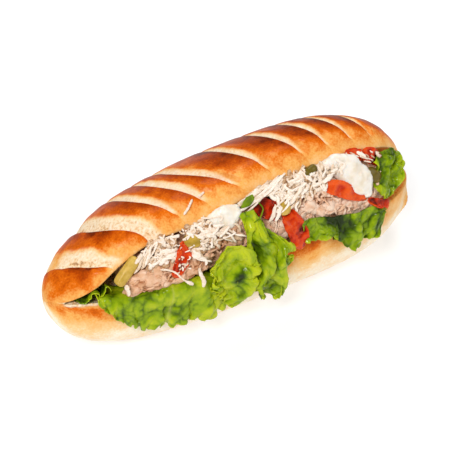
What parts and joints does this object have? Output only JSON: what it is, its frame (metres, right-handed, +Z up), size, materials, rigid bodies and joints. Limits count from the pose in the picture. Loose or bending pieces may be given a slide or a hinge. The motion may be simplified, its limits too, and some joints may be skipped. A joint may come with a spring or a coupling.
{
  "type": "submarine sandwich",
  "caption": "Long slashed milk roll, cut open along its front and filled with lettuce, tuna salad, dried tomato, gherkin, mayonnaise and grated cheese.",
  "frame": {"origin": "middle of the flat spot under the roll, which it rests on", "axes": "+X along the roll to its far end, -Y out of the open side, +Z up"},
  "size_m": [0.251, 0.1029, 0.0967],
  "materials": {
    "baked crust": "egg-washed baked crust, satin",
    "lettuce leaf": "moist leaf, satin",
    "tuna salad": "moist cooked fish flakes",
    "dried tomato": "oily tomato skin, glossy",
    "pickled gherkin": "wet pickled flesh",
    "mayonnaise": "thick white sauce, glossy",
    "grated cheese": "grated hard cheese, matt",
    "herb leaf": "fresh herb leaf, satin"
  },
  "bodies": {
    "root": {"roll": "baked crust", "lettuce_left": "lettuce leaf", "lettuce_curl": "lettuce leaf", "lettuce_middle_left": "lettuce leaf", "lettuce_middle_right": "lettuce leaf", "lettuce_right": "lettuce leaf", "lettuce_end": "lettuce leaf", "tuna": "tuna salad", "tomato_left": "dried tomato", "tomato_centre_upper": "dried tomato", "tomato_centre_lower": "dried tomato", "tomato_right_strip": "dried tomato", "tomato_right_tip": "dried tomato", "tomato_top_near": "dried tomato", "tomato_top_far": "dried tomato", "gherkin_stick": "pickled gherkin", "gherkin_dice": "pickled gherkin", "gherkin_slice_low": "pickled gherkin", "gherkin_slice_high": "pickled gherkin", "gherkin_far": "pickled gherkin", "olive_bit": "pickled gherkin", "mayonnaise_centre": "mayonnaise", "mayonnaise_right": "mayonnaise", "cheese_left": "grated cheese", "cheese_centre": "grated cheese", "shred_by_stick": "grated cheese", "shred_hanging_long": "grated cheese", "shred_hanging_short": "grated cheese", "shred_at_lip": "grated cheese", "shred_on_crust_long": "grated cheese", "shred_on_crust_short": "grated cheese", "herb_leaf": "herb leaf"}
  },
  "joints": []
}
